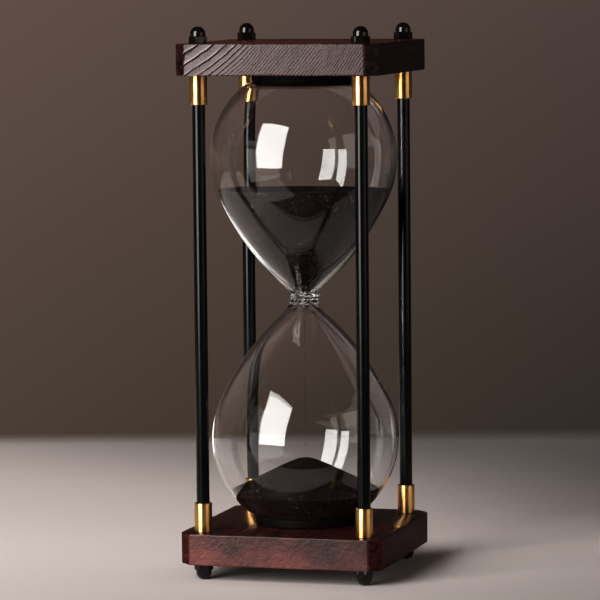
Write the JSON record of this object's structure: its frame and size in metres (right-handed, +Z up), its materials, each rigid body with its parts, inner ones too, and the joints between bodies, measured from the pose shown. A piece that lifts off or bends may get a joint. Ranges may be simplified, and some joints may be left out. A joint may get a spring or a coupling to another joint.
{
  "type": "hourglass",
  "caption": "Sand hourglass: a blown double bulb held between square wooden plates by black posts with brass ferrules and domed cap nuts as feet.",
  "frame": {"origin": "on the ground, under the middle of the plates", "axes": "+Z up along the glass, -Y towards the front face of the plates, +X to the right"},
  "size_m": [0.1, 0.1, 0.2652],
  "materials": {
    "stained_wood": "satin lacquer over dark red-brown stain, open grain on the ends",
    "black_post": "satin black",
    "brass": "turned and polished",
    "black_nut": "gloss black",
    "black_pad": "matt",
    "clear_glass": "clear blown glass",
    "stopper": "matt",
    "black_sand": "fine dark grains with a few bright specks"
  },
  "bodies": {
    "root": {"base_plate": "stained_wood", "top_plate": "stained_wood", "post_front_left": "black_post", "post_front_right": "black_post", "post_back_left": "black_post", "post_back_right": "black_post", "base_ferrule_front_left": "brass", "base_ferrule_front_right": "brass", "base_ferrule_back_left": "brass", "base_ferrule_back_right": "brass", "top_ferrule_front_left": "brass", "top_ferrule_front_right": "brass", "top_ferrule_back_left": "brass", "top_ferrule_back_right": "brass", "foot_nut_front_left": "black_nut", "foot_nut_front_right": "black_nut", "foot_nut_back_left": "black_nut", "foot_nut_back_right": "black_nut", "top_nut_front_left": "black_nut", "top_nut_front_right": "black_nut", "top_nut_back_left": "black_nut", "top_nut_back_right": "black_nut", "base_pad": "black_pad", "top_pad": "black_pad", "glass_bulb": "clear_glass", "fill_stopper": "stopper", "upper_sand": "black_sand", "lower_sand": "black_sand", "sand_stream": "black_sand"}
  },
  "joints": []
}
